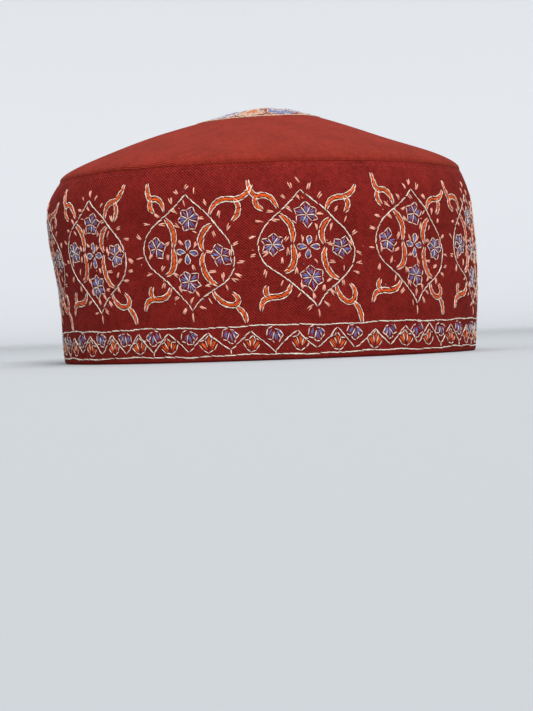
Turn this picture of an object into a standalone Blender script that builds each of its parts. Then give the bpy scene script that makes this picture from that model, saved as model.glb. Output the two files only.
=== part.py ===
# An embroidered wool cap: a tall side band with a lining inside it, and a domed crown panel
# sewn to its top. Metres, +Z up, the front towards -Y, the rim flat on z = 0.

from math import exp, hypot, radians

import bmesh
import bpy
from mathutils import Vector

# Driving sizes of the whole cap
RIM_HALF_WIDTH = 0.0915  # outside, from the middle to the rim, across the ears
DEPTH_TO_WIDTH = 1.032  # the plan is a slight oval, longer from front to back
SEAM_HEIGHT = 0.0800  # from the rim to the seam that joins the crown to the band
BULGE = 0.0022  # how much wider the band is at its widest than at the rim
BULGE_HEIGHT = 0.0560  # where the band is widest
SHOULDER_HEIGHT = 0.0640  # where the band begins to lean in towards the seam
SHOULDER_LEAN = 0.0040  # how far it has leaned in at the seam
EDGE_DROP = 0.0030  # the crown turns down by this much over its edge
EDGE_SHARPNESS = 18  # a higher power makes that turn tighter
CROWN_RISE = 0.0250  # from the crown's turned edge to its top, before the mound in the middle
CROWN_POWER = 1.45  # 1 is a cone and 2 a paraboloid
SWAY = 0.0030  # the seam sits this far to -X of the rim, as the worn cap leans
TOP_OFFSET = 0.0015  # the crown's top lies this far to +X

# Cloth
BAND_WALL = 0.0022
CROWN_WALL = 0.0018
LINING_WALL = 0.0010
CLEARANCE = 0.0003  # between two sewn pieces
HEM_ROUNDING = 0.0004  # at the folded lower edge
LINING_FOOT = 0.0016  # the lining's lower edge lies this far above the rim
LINING_TOP = 0.0770

# Facets
AROUND = 72
BAND_ROWS = 9
LINING_ROWS = 6
# The crown's rings as shares of its edge radius, closer together where the cloth turns down
CROWN_RINGS = (0.0, 0.14, 0.29, 0.44, 0.58, 0.71, 0.82, 0.90, 0.95, 0.98, 0.993, 1.0)

# Soft bulges and dents of the worn cloth. Azimuth is 0 at the front and positive towards +X.
BAND_DENTS = (
    # azimuth and spread round in degrees; height, spread up and push outwards in metres
    dict(azimuth=-86, height=0.058, round=32, up=0.016, push=0.0012),
    dict(azimuth=-84, height=0.030, round=26, up=0.020, push=-0.0014),
    dict(azimuth=92, height=0.040, round=34, up=0.022, push=0.0012),
    dict(azimuth=158, height=0.052, round=24, up=0.022, push=-0.0012),
    dict(azimuth=-146, height=0.034, round=22, up=0.020, push=0.0009),
)
CROWN_DENTS = (
    # place, spread and lift in metres; the first is the soft mound in the middle
    dict(x=0.0015, y=0.0, spread=0.027, lift=0.0024),
    dict(x=-0.050, y=-0.008, spread=0.026, lift=0.0012),
    dict(x=0.058, y=-0.020, spread=0.022, lift=-0.0014),
    dict(x=0.012, y=0.058, spread=0.026, lift=-0.0010),
)

# Base colours
WOOL_RED = (0.220, 0.022, 0.018, 1.0)
CROWN_RED = (0.250, 0.030, 0.024, 1.0)
LINING_MAROON = (0.060, 0.012, 0.012, 1.0)


def clear_scene():
    for obj in list(bpy.data.objects):
        bpy.data.objects.remove(obj, do_unlink=True)


def cloth_material(name, colour, roughness):
    material = bpy.data.materials.new(name)
    material.use_nodes = True
    shader = material.node_tree.nodes["Principled BSDF"]
    shader.inputs["Base Color"].default_value = colour
    shader.inputs["Roughness"].default_value = roughness
    shader.inputs["Metallic"].default_value = 0.0
    return material


def band_radius(height):
    """The band's outer half width: swelling from the rim, then leaning in over the shoulder."""
    swell = 1 - ((height - BULGE_HEIGHT) / BULGE_HEIGHT) ** 2
    lean = max(0.0, height - SHOULDER_HEIGHT) / (SEAM_HEIGHT - SHOULDER_HEIGHT)
    return RIM_HALF_WIDTH + BULGE * swell - SHOULDER_LEAN * lean**2


def band_push(azimuth, height):
    """The sum of the band's bulges and dents, each a bell in azimuth and height."""
    total = 0.0
    for dent in BAND_DENTS:
        turn = (azimuth - radians(dent["azimuth"]) + radians(180)) % radians(360) - radians(180)
        across = turn / radians(dent["round"])
        along = (height - dent["height"]) / dent["up"]
        total += dent["push"] * exp(-(across**2) - along**2)
    return total


def crown_lift(x, y):
    """The sum of the crown's rises and sags, each a round bell."""
    return sum(
        dent["lift"] * exp(-((x - dent["x"]) ** 2 + (y - dent["y"]) ** 2) / dent["spread"] ** 2)
        for dent in CROWN_DENTS
    )


def wall_profile(inset, thickness, low, high, rows):
    """Outer face upwards, then the inner face downwards, as points of radius and height."""
    heights = [low + (high - low) * row / rows for row in range(rows + 1)]
    face = [(band_radius(z) - inset, z) for z in heights]
    back = [(radius - thickness, z) for radius, z in reversed(face)]
    return face + back


def band_profile():
    """The band's wall, with its folded lower edge rounded down to a flat foot."""
    wall = wall_profile(0.0, BAND_WALL, HEM_ROUNDING, SEAM_HEIGHT, BAND_ROWS)
    foot = band_radius(0.0)
    inner_foot = (foot - BAND_WALL + HEM_ROUNDING, 0.0)
    outer_foot = (foot - HEM_ROUNDING, 0.0)
    return wall + [inner_foot, outer_foot]


def lining_profile():
    return wall_profile(BAND_WALL + CLEARANCE, LINING_WALL, LINING_FOOT, LINING_TOP, LINING_ROWS)


def crown_height(share):
    """The crown's outer face: a soft cone whose cloth turns down over its edge."""
    turn = (1 - share**EDGE_SHARPNESS) ** 0.5
    return SEAM_HEIGHT + CLEARANCE + EDGE_DROP * turn + CROWN_RISE * (1 - share**CROWN_POWER)


def crown_profile():
    """From the top out to the seam, then back on the inside, a wall's thickness away."""
    edge = band_radius(SEAM_HEIGHT)
    face = [Vector((edge * share, crown_height(share))) for share in CROWN_RINGS]
    back = [face[0] - Vector((0, CROWN_WALL))]
    for before, point, after in zip(face, face[1:], face[2:]):
        along = (after - before).normalized()
        inwards = Vector((along.y, -along.x))
        back.append(point + inwards * CROWN_WALL)
    back.append(face[-1] - Vector((CROWN_WALL, 0)))
    return [tuple(point) for point in face + back[::-1]]


def spun(profile, closed):
    """The outline turned once round the axis. One that is not closed ends on the axis."""
    mesh = bmesh.new()
    corners = [mesh.verts.new((0.0, -radius, height)) for radius, height in profile]
    ends = corners[1:] + corners[:1] if closed else corners[1:]
    edges = [mesh.edges.new(pair) for pair in zip(corners, ends)]
    bmesh.ops.spin(
        mesh,
        geom=corners + edges,
        cent=(0, 0, 0),
        axis=(0, 0, 1),
        angle=radians(360),
        steps=AROUND,
        use_merge=True,
    )
    bmesh.ops.remove_doubles(mesh, verts=mesh.verts, dist=1e-6)
    bmesh.ops.recalc_face_normals(mesh, faces=mesh.faces)
    return mesh


def azimuth_of(x, y):
    """The angle from the front, positive towards +X."""
    return -Vector((0, -1)).angle_signed(Vector((x, y)))


def shape_wall(mesh):
    """Makes the round wall oval, adds its bulges and dents, and lets it lean to -X."""
    for vertex in mesh.verts:
        x, y, z = vertex.co
        pushed = 1 + band_push(azimuth_of(x, y), z) / hypot(x, y)
        sway = SWAY * z / SEAM_HEIGHT
        vertex.co = (x * pushed - sway, y * pushed * DEPTH_TO_WIDTH, z)


def shape_crown(mesh):
    """Makes the round crown oval, and keeps its edge on the band while its top moves to +X."""
    edge = band_radius(SEAM_HEIGHT)
    for vertex in mesh.verts:
        x, y, z = vertex.co
        radius = hypot(x, y)
        share = radius / edge
        pushed = 1.0
        if share > 0:
            pushed += share**4 * band_push(azimuth_of(x, y), SEAM_HEIGHT) / radius
        slide = TOP_OFFSET * (1 - share**2) - SWAY * share**2
        lift = crown_lift(x, y) * (1 - share**4)
        vertex.co = (x * pushed + slide, y * pushed * DEPTH_TO_WIDTH, z + lift)


def add_piece(name, mesh, material):
    data = bpy.data.meshes.new(name)
    mesh.to_mesh(data)
    mesh.free()
    data.shade_smooth()
    data.set_sharp_from_angle(angle=radians(40))
    data.materials.append(material)
    piece = bpy.data.objects.new(name, data)
    bpy.context.scene.collection.objects.link(piece)
    return piece


def side_band():
    mesh = spun(band_profile(), closed=True)
    shape_wall(mesh)
    return add_piece("side_band", mesh, cloth_material("wool_band", WOOL_RED, 0.85))


def band_lining():
    mesh = spun(lining_profile(), closed=True)
    shape_wall(mesh)
    return add_piece("band_lining", mesh, cloth_material("lining_cloth", LINING_MAROON, 0.80))


def crown_panel():
    mesh = spun(crown_profile(), closed=False)
    shape_crown(mesh)
    return add_piece("crown_panel", mesh, cloth_material("wool_crown", CROWN_RED, 0.85))


def centre_over_origin(pieces):
    """Sets the middle of the cap's box over the origin, with the rim staying at z = 0."""
    points = [corner.co for piece in pieces for corner in piece.data.vertices]
    middle_x = (min(p.x for p in points) + max(p.x for p in points)) / 2
    middle_y = (min(p.y for p in points) + max(p.y for p in points)) / 2
    for piece in pieces:
        for corner in piece.data.vertices:
            corner.co -= Vector((middle_x, middle_y, 0))


def main():
    clear_scene()
    pieces = [side_band(), band_lining(), crown_panel()]
    centre_over_origin(pieces)


main()
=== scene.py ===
# An embroidered wool cap: twill cloth over a plain lining, with every stitch made as its own bit of thread.
import math

import bpy
import numpy as np
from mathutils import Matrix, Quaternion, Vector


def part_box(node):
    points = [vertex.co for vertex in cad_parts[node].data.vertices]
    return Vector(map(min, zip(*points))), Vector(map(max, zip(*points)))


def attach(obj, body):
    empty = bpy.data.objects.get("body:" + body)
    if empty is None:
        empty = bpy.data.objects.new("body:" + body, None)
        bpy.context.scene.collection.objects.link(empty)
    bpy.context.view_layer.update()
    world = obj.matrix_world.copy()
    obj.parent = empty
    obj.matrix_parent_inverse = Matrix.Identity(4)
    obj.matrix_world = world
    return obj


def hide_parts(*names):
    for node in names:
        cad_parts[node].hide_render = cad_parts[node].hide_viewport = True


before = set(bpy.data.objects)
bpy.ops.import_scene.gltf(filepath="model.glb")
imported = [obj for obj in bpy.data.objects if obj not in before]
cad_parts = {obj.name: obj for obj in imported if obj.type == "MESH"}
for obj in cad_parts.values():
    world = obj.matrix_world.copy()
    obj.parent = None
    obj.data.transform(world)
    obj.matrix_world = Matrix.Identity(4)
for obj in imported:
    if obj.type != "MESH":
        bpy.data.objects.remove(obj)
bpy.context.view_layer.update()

mm = 0.001

# The cap's form, in metres: the same driving sizes as the frame
capForm = {
    "rimHalfWidth": 0.0915,  # across the ears, outside, at the rim
    "depthToWidth": 1.032,  # an oval plan, longer from front to back
    "seamHeight": 0.0800,
    "bulge": 0.0022,
    "bulgeHeight": 0.0560,
    "shoulderHeight": 0.0640,
    "shoulderLean": 0.0040,
    "edgeDrop": 0.0030,
    "edgeSharpness": 18,
    "crownRise": 0.0250,
    "crownPower": 1.45,
    "sway": 0.0030,  # the seam leans this far to -X
    "topOffset": 0.0015,
    "clearance": 0.0003,
}
# Bulges and dents: azimuth from the front and spread round in degrees, the rest in metres
bandDents = (
    {"azimuth": -86, "height": 0.058, "round": 32, "up": 0.016, "push": 0.0012},
    {"azimuth": -90, "height": 0.081, "round": 34, "up": 0.0055, "push": -0.0020},
    {"azimuth": -90, "height": 0.069, "round": 32, "up": 0.0080, "push": 0.0003},
    {"azimuth": -84, "height": 0.030, "round": 26, "up": 0.020, "push": -0.0014},
    {"azimuth": 92, "height": 0.040, "round": 34, "up": 0.022, "push": 0.0012},
    {"azimuth": 158, "height": 0.052, "round": 24, "up": 0.022, "push": -0.0012},
    {"azimuth": -146, "height": 0.034, "round": 22, "up": 0.020, "push": 0.0009},
)
crownDents = (
    {"x": 0.0015, "y": 0.000, "spread": 0.027, "lift": 0.0024},
    {"x": -0.050, "y": -0.008, "spread": 0.026, "lift": 0.0012},
    {"x": 0.058, "y": -0.020, "spread": 0.022, "lift": -0.0014},
    {"x": 0.012, "y": 0.058, "spread": 0.026, "lift": -0.0010},
)
# soft waves all over, slow ones at the rim, and puckers near the seam and the crown's edge
ripples = {
    "seed": 11,
    "waves": 16, "band": 0.18 * mm, "crown": 0.30 * mm,
    "rim": 0.14 * mm, "rimReach": 6.0 * mm,
    "puckers": 10, "seam": 0.16 * mm, "seamReach": 4.5 * mm,
    "crownPucker": 0.14 * mm, "crownReach": 0.11,  # a share of the crown's radius
}
# the band's two ends are joined at the back, between two medallions; the ridges are set out in widths
join = {"azimuth": math.radians(176.2), "depth": 0.42 * mm, "width": 0.55 * mm, "ridge": 0.16 * mm,
        "ridgePlace": 3.2, "ridgeWidth": 2.2}
# the crown's folded edge stands out from the band and laps over it
crownFold = {"proud": 0.24 * mm, "lap": 0.45 * mm, "sharpness": 26}


def bandRadius(height):
    # the rim's half width, plus a parabola that peaks at the bulge, minus a squared lean over the shoulder
    swell = 1 - ((height - capForm["bulgeHeight"]) / capForm["bulgeHeight"]) ** 2
    shoulder = capForm["shoulderHeight"]
    lean = np.maximum(0, height - shoulder) / (capForm["seamHeight"] - shoulder)
    return capForm["rimHalfWidth"] + capForm["bulge"] * swell - capForm["shoulderLean"] * lean**2


def turnFrom(middle, azimuth):
    # the shorter way round from one angle to another
    return (azimuth - middle + math.pi) % (2 * math.pi) - math.pi


def bandPush(azimuth, height):
    # the sum of bells in azimuth and height
    total = 0
    for dent in bandDents:
        across = turnFrom(math.radians(dent["azimuth"]), azimuth) / math.radians(dent["round"])
        total = total + dent["push"] * np.exp(-(across**2) - ((height - dent["height"]) / dent["up"]) ** 2)
    return total


def softWaves(around, along, size):
    # a sum of seeded sines, whole numbers of waves round the cap so that they close
    rng = np.random.default_rng(ripples["seed"])
    total = 0
    for _ in range(ripples["waves"]):
        turns, slope = rng.integers(2, 15), rng.uniform(-110, 110)
        total = total + np.sin(turns * around + slope * along + rng.uniform(0, 6.28)) / math.sqrt(turns)
    return size * total / math.sqrt(ripples["waves"])


def puckerWaves(azimuth):
    # a sum of seeded finer sines, so that no two puckers are alike
    rng = np.random.default_rng(ripples["seed"] + 1)
    total = 0
    for _ in range(ripples["puckers"]):
        total = total + np.sin(rng.integers(16, 80) * azimuth + rng.uniform(0, 6.28))
    return total / math.sqrt(ripples["puckers"])


def joinGroove(azimuth):
    # a narrow bell for the groove and two wider, lower ones for the pressed seam on both sides of it
    across = turnFrom(join["azimuth"], azimuth) * capForm["rimHalfWidth"] / join["width"]
    ridges = np.exp(-((np.abs(across) - join["ridgePlace"]) / join["ridgeWidth"]) ** 2)
    return join["ridge"] * ridges - join["depth"] * np.exp(-(across**2))


def bandRipple(azimuth, height):
    # soft waves everywhere, fine puckers that die away from the seam, and slower ones at the rim
    atSeam = np.exp(-(((capForm["seamHeight"] - height) / ripples["seamReach"]) ** 2))
    atRim = np.exp(-((height / ripples["rimReach"]) ** 2))
    slow = np.sin(13 * azimuth + 2 * np.sin(3 * azimuth))
    return (softWaves(azimuth, height, ripples["band"]) + ripples["seam"] * atSeam * puckerWaves(azimuth)
            + ripples["rim"] * atRim * slow + joinGroove(azimuth))


def bandPlace(azimuth, height, inset=0.0):
    # a circle of the band's radius in the plan, stretched to an oval and slid to -X in proportion to height
    radius = bandRadius(height) - inset + bandPush(azimuth, height) + bandRipple(azimuth, height)
    x = radius * np.sin(azimuth) - capForm["sway"] * height / capForm["seamHeight"]
    y = -radius * np.cos(azimuth) * capForm["depthToWidth"]
    return np.stack([x, y, height + 0 * azimuth], axis=-1) + capCentre


def crownHeight(share):
    # the seam, plus a root curve that turns down at the edge, plus a soft cone
    turn = np.sqrt(np.maximum(0, 1 - share ** capForm["edgeSharpness"]))
    cone = 1 - share ** capForm["crownPower"]
    foot = capForm["seamHeight"] + capForm["clearance"]
    return foot + capForm["edgeDrop"] * turn + capForm["crownRise"] * cone


def crownPlace(azimuth, share):
    # the cone's height over an oval plan, with bells for its rises and sags and puckers near its edge
    seam = capForm["seamHeight"]
    nearEdge = share**4
    fold = crownFold["proud"] * share ** crownFold["sharpness"]
    pushed = nearEdge * (bandPush(azimuth, seam) + bandRipple(azimuth, seam))
    radius = bandRadius(seam) * share + fold + pushed
    x, y = radius * np.sin(azimuth), -radius * np.cos(azimuth)
    height = crownHeight(share)
    for dent in crownDents:
        bell = np.exp(-((x - dent["x"]) ** 2 + (y - dent["y"]) ** 2) / dent["spread"] ** 2)
        height = height + dent["lift"] * bell * (1 - nearEdge)
    puckers = puckerWaves(azimuth) * np.exp(-(((1 - share) / ripples["crownReach"]) ** 2))
    height = height + ripples["crownPucker"] * puckers * (1 - share**12)
    height = height + softWaves(azimuth, share * 0.06, ripples["crown"]) * share * (1 - nearEdge)
    slide = capForm["topOffset"] * (1 - share**2) - capForm["sway"] * share**2
    return np.stack([x + slide, y * capForm["depthToWidth"], height], axis=-1) + capCentre


# The frame's band sets the middle of the plan
capCentre = np.zeros(3)
samples = bandPlace(*np.meshgrid(np.linspace(-math.pi, math.pi, 361), np.linspace(0.0004, 0.08, 60)))
samples = samples.reshape(-1, 3)
bandLow, bandHigh = (np.array(corner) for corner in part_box("side_band"))
capCentre = (bandLow + bandHigh) / 2 - (samples.min(0) + samples.max(0)) / 2
capCentre[2] = 0
print("form settled, plan centre", (capCentre * 1000).round(2), "mm")


def unit(vectors):
    # the same directions, made one long
    return vectors / np.maximum(np.linalg.norm(vectors, axis=-1, keepdims=True), 1e-9)


def normalsOf(place, first, second, stepFirst, stepSecond):
    # the cross product of the surface's two central differences, made one long
    across = place(first + stepFirst, second) - place(first - stepFirst, second)
    along = place(first, second + stepSecond) - place(first, second - stepSecond)
    return unit(np.cross(across, along))


def makeObject(name, places, corners, sizes, uv, materials, tones=None, slots=None):
    # one mesh from whole arrays: vertices, face corners, face sizes and one uv pair for each corner
    mesh = bpy.data.meshes.new(name)
    mesh.vertices.add(len(places))
    mesh.vertices.foreach_set("co", np.ascontiguousarray(places, np.float32).ravel())
    mesh.loops.add(len(corners))
    mesh.loops.foreach_set("vertex_index", corners.astype(np.int32))
    starts = np.concatenate([[0], np.cumsum(sizes)[:-1]]).astype(np.int32)
    mesh.polygons.add(len(sizes))
    mesh.polygons.foreach_set("loop_start", starts)
    if slots is not None:
        mesh.polygons.foreach_set("material_index", slots.astype(np.int32))
    mesh.update(calc_edges=True)
    mesh.validate()
    layer = mesh.uv_layers.new(name="clothUv")
    layer.uv.foreach_set("vector", uv.astype(np.float32).ravel())
    if tones is not None:
        mesh.attributes.new("tone", "FLOAT", "POINT").data.foreach_set("value", tones.astype(np.float32))
    mesh.polygons.foreach_set("use_smooth", np.ones(len(sizes), bool))
    for material in materials:
        mesh.materials.append(material)
    piece = bpy.data.objects.new(name, mesh)
    bpy.context.scene.collection.objects.link(piece)
    return piece


def gridFaces(rows, columns, closeRows):
    # quads of a grid whose columns go round; where rows close too, the last is joined to the first
    row, column = np.meshgrid(np.arange(rows if closeRows else rows - 1), np.arange(columns), indexing="ij")
    lower, upper, left, right = row, row + 1, column, column + 1
    rowIndex = np.stack([lower, lower, upper, upper], -1)
    columnIndex = np.stack([left, right, right, left], -1)
    vertex = (rowIndex % rows) * columns + columnIndex % columns
    return vertex.reshape(-1, 4), rowIndex.reshape(-1, 4), columnIndex.reshape(-1, 4)


def addNode(tree, kind, place, settings=None, **links):
    # a node, its settings, and values or links for its inputs, each by its name or by i and its number
    node = tree.nodes.new(kind)
    node.location = place
    for key, value in (settings or {}).items():
        setattr(node, key, value)
    for key, value in links.items():
        socket = node.inputs[int(key[1:]) if key[0] == "i" and key[1:].isdigit() else key.replace("_", " ")]
        if isinstance(value, bpy.types.NodeSocket):
            tree.links.new(value, socket)
        else:
            socket.default_value = value
    return node


def newGroup(name, inputs, outputs):
    # an empty shader group with its named inputs and outputs
    tree = bpy.data.node_groups.new(name, "ShaderNodeTree")
    for label, kind, value in inputs:
        socket = tree.interface.new_socket(label, in_out="INPUT", socket_type=kind)
        if value is not None:
            socket.default_value = value
    for label, kind in outputs:
        tree.interface.new_socket(label, in_out="OUTPUT", socket_type=kind)
    return tree, tree.nodes.new("NodeGroupInput"), tree.nodes.new("NodeGroupOutput")


def mathNode(tree, operation, first, second=0.0, place=(0, 0), third=0.0, clamp=False):
    # one sum, product or other operation on values or links
    return addNode(tree, "ShaderNodeMath", place, {"operation": operation, "use_clamp": clamp},
                   i0=first, i1=second, i2=third).outputs[0]


def times(tree, first, second, place):
    # a product of two
    return mathNode(tree, "MULTIPLY", first, second, place)


def plus(tree, first, second, place, clamp=False):
    # a sum of two
    return mathNode(tree, "ADD", first, second, place, clamp=clamp)


def scaled(tree, value, by, place):
    # the value times the first of two numbers, plus the second
    return mathNode(tree, "MULTIPLY_ADD", value, by[0], place, third=by[1])


def mixColour(tree, factor, first, second, place):
    # from the first colour to the second by the factor
    return addNode(tree, "ShaderNodeMix", place, {"data_type": "RGBA"},
                   i0=factor, i6=first, i7=second).outputs[2]


def noise(tree, vector, scale, detail, roughness, place):
    # soft noise over the cloth's millimetres
    return addNode(tree, "ShaderNodeTexNoise", place, Vector=vector, Scale=scale, Detail=detail,
                   Roughness=roughness).outputs[0]


def sineOf(tree, value, factor, place):
    # the sine of the value times the factor
    turned = times(tree, value, factor, (place[0] - 140, place[1]))
    return mathNode(tree, "SINE", turned, 0, place)


# ribs fall from upper left to lower right; each is made of yarn floats, in millimetres
twill = {
    "fall": math.radians(40), "floatWidth": 0.44, "floatLength": 1.3,
    "driftScale": 0.12,  # how finely the ribs waver
    "ribFadeScale": 0.35, "ribFadeFrom": 0.34, "ribFadeTo": 0.66, "ribFadeLeast": 0.28,  # where the ribs fade
}


def buildTwillGroup():
    # slanting ribs made of short yarn floats: a sine across the ribs, broken by a finer sine along them
    tree, source, sink = newGroup(
        "twillWeave",
        (("Cloth", "NodeSocketVector", None), ("Rib spacing", "NodeSocketFloat", 0.87),
         ("Waver", "NodeSocketFloat", 0.35)),
        (("Height", "NodeSocketFloat"), ("Shade", "NodeSocketFloat")))
    cloth = source.outputs["Cloth"]
    parts = addNode(tree, "ShaderNodeSeparateXYZ", (-900, 0), Vector=cloth).outputs
    alongX = times(tree, parts[0], math.sin(twill["fall"]), (-700, 60))
    alongY = times(tree, parts[1], math.cos(twill["fall"]), (-700, 20))
    across = plus(tree, alongX, alongY, (-540, 40))
    across = mathNode(tree, "DIVIDE", across, source.outputs["Rib spacing"], (-400, 40))
    drift = noise(tree, cloth, twill["driftScale"], 2.0, 0.5, (-900, -200))
    drift = times(tree, drift, source.outputs["Waver"], (-700, -200))
    across = plus(tree, across, drift, (-260, 40))
    rib = scaled(tree, sineOf(tree, across, 2 * math.pi, (20, 40)), (0.5, 0.5), (160, 40))
    floatX = times(tree, parts[0], 2 * math.pi / twill["floatWidth"], (-700, -60))
    floatY = times(tree, parts[1], -2 * math.pi / twill["floatLength"], (-700, -100))
    floatWave = mathNode(tree, "SINE", plus(tree, floatX, floatY, (-540, -80)), 0, (-400, -80))
    yarn = scaled(tree, floatWave, (0.14, 0.86), (160, -80))
    # the ribs show well in some places and fade in others
    ribFade = noise(tree, cloth, twill["ribFadeScale"], 4.0, 0.7, (0, -260))
    ribFade = addNode(tree, "ShaderNodeMapRange", (160, -260), i0=ribFade, i1=twill["ribFadeFrom"],
                   i2=twill["ribFadeTo"], i3=twill["ribFadeLeast"], i4=1.0).outputs[0]
    height = times(tree, times(tree, rib, yarn, (240, 0)), ribFade, (320, 0))
    tree.links.new(height, sink.inputs["Height"])
    # the shade is painted shade: the wool's colour is made darker in the grooves between the ribs
    tree.links.new(mathNode(tree, "POWER", height, 0.8, (480, -60)), sink.inputs["Shade"])
    return tree


def buildMottleGroup():
    # broad blotches and fine fuzz from two noises
    tree, source, sink = newGroup(
        "woolMottle", (("Cloth", "NodeSocketVector", None), ("Blotch scale", "NodeSocketFloat", 0.06)),
        (("Blotch", "NodeSocketFloat"), ("Fuzz", "NodeSocketFloat")))
    cloth = source.outputs["Cloth"]
    blotch = noise(tree, cloth, source.outputs["Blotch scale"], 3.0, 0.6, (-400, 100))
    tree.links.new(blotch, sink.inputs["Blotch"])
    tree.links.new(noise(tree, cloth, 1.3, 6.0, 0.78, (-400, -100)), sink.inputs["Fuzz"])
    return tree


def buildTwistGroup():
    # plies seen as slanting stripes: a sine of the distance along the thread plus the turn round it; where
    # the stripes go into the thread's colour, their dark gaps are painted shade
    tree, source, sink = newGroup(
        "threadTwist", (("Thread", "NodeSocketVector", None), ("Twists per mm", "NodeSocketFloat", 1.1)),
        (("Ply", "NodeSocketFloat"), ("Hair", "NodeSocketFloat")))
    thread = source.outputs["Thread"]
    parts = addNode(tree, "ShaderNodeSeparateXYZ", (-600, 0), Vector=thread).outputs
    along = times(tree, parts[0], source.outputs["Twists per mm"], (-440, 60))
    around = times(tree, parts[1], 2.0, (-440, -60))
    turn = plus(tree, along, around, (-280, 0))
    ply = mathNode(tree, "ABSOLUTE", sineOf(tree, turn, 2 * math.pi, (0, 0)), 0, (140, 0))
    tree.links.new(ply, sink.inputs["Ply"])
    tree.links.new(noise(tree, thread, 9.0, 3.0, 0.5, (-280, -220)), sink.inputs["Hair"])
    return tree


twillGroup = buildTwillGroup()
mottleGroup = buildMottleGroup()
twistGroup = buildTwistGroup()


def startMaterial(name, **values):
    # a material with only its shader and output in it, and the shader's fixed values
    material = bpy.data.materials.new(name)
    material.use_nodes = True
    shader = material.node_tree.nodes["Principled BSDF"]
    for key, value in values.items():
        shader.inputs[key.replace("_", " ")].default_value = value
    return material, material.node_tree, shader


def addGroup(tree, group, place, **values):
    # a node group with values or links for its named inputs
    return addNode(tree, "ShaderNodeGroup", place, {"node_tree": group}, **values).outputs


def clothUv(tree):
    # the millimetres along and across the cloth or the thread
    return addNode(tree, "ShaderNodeUVMap", (-1300, 0), {"uv_map": "clothUv"}).outputs[0]


def finishSurface(tree, shader, colour, roughness, relief, bump):
    # colour, roughness and relief go into the shader; bump is its strength and its depth in metres
    tree.links.new(colour, shader.inputs["Base Color"])
    tree.links.new(roughness, shader.inputs["Roughness"])
    normal = addNode(tree, "ShaderNodeBump", (-160, -320), Strength=bump[0], Distance=bump[1], Height=relief)
    tree.links.new(normal.outputs[0], shader.inputs["Normal"])


wool = {
    "band": {"dark": (0.074, 0.0040, 0.0036, 1), "light": (0.360, 0.0290, 0.0220, 1), "waver": 0.45,
             "sheen": 0.02},
    "crown": {"dark": (0.110, 0.0095, 0.0062, 1), "light": (0.370, 0.0370, 0.0220, 1), "waver": 0.35,
              "sheen": 0.09},
    "ribSpacing": 0.87,  # millimetres
    "blotchScale": 0.07,
    "bump": (0.9, 0.00022),  # strength, and depth in metres
    "sheenTint": (1.0, 0.30, 0.20, 1),
    # each mask's multiple and offset in the mix from dark to light, and fuzz in the roughness; the ribs'
    # share is painted shade in their grooves
    "ribs": (0.85, 0.06),
    "blotches": (0.55, -0.27),
    "fuzz": (1.6, -0.80),
    "roughness": (0.18, 0.74),
}


def woolMaterial(part):
    # from dark to light wool by the sum of ribs, blotches and fuzz, where the ribs' dark grooves are painted
    # shade; ribs and fuzz also raise the surface
    look = wool[part]
    material, tree, shader = startMaterial(part + "Wool", Specular_IOR_Level=0.05, Sheen_Weight=look["sheen"],
                                           Sheen_Roughness=0.45, Sheen_Tint=wool["sheenTint"])
    cloth = clothUv(tree)
    weave = addGroup(tree, twillGroup, (-1000, 100), Cloth=cloth, Rib_spacing=wool["ribSpacing"],
                     Waver=look["waver"])
    mottle = addGroup(tree, mottleGroup, (-1000, -150), Cloth=cloth, Blotch_scale=wool["blotchScale"])
    ribs = scaled(tree, weave["Shade"], wool["ribs"], (-760, 60))
    blotches = scaled(tree, mottle["Blotch"], wool["blotches"], (-760, -120))
    fuzz = scaled(tree, mottle["Fuzz"], wool["fuzz"], (-760, -220))
    mixed = plus(tree, blotches, fuzz, (-600, -160))
    mixed = plus(tree, ribs, mixed, (-440, 0), clamp=True)
    finishSurface(tree, shader, mixColour(tree, mixed, look["dark"], look["light"], (-280, 60)),
                  scaled(tree, mottle["Fuzz"], wool["roughness"], (-280, -120)),
                  scaled(tree, mottle["Fuzz"], (0.45, weave["Height"]), (-600, -340)), wool["bump"])
    return material


# the lining's dark colours are partly its own and partly painted shade: the inside of the cap is coloured as
# dark as it looks in shade
lining = {"dark": (0.026, 0.0062, 0.0066, 1), "light": (0.105, 0.0230, 0.0220, 1),
          "threads": 2.1,  # for each millimetre
          "blotchScale": 0.05,
          "roughness": (0.2, 0.62),  # the fuzz's multiple and offset
          "bump": (0.35, 0.00012)}


def liningMaterial(name):
    # a plain weave: the product of two sines, one for each yarn direction
    material, tree, shader = startMaterial(name, Specular_IOR_Level=0.3, Sheen_Weight=0.1)
    cloth = clothUv(tree)
    parts = addNode(tree, "ShaderNodeSeparateXYZ", (-1100, 0), Vector=cloth).outputs
    turns = lining["threads"] * math.pi
    warp, weft = sineOf(tree, parts[0], turns, (-800, 60)), sineOf(tree, parts[1], turns, (-800, -60))
    weave = scaled(tree, times(tree, warp, weft, (-660, 0)), (0.5, 0.5), (-520, 0))
    mottle = addGroup(tree, mottleGroup, (-1000, -250), Cloth=cloth, Blotch_scale=lining["blotchScale"])
    mixed = plus(tree, weave, mottle["Blotch"], (-380, 0))
    mixed = mathNode(tree, "MULTIPLY", mixed, 0.5, (-240, 0), clamp=True)
    finishSurface(tree, shader, mixColour(tree, mixed, lining["dark"], lining["light"], (-120, 60)),
                  scaled(tree, mottle["Fuzz"], lining["roughness"], (-240, -200)), weave, lining["bump"])
    return material


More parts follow.
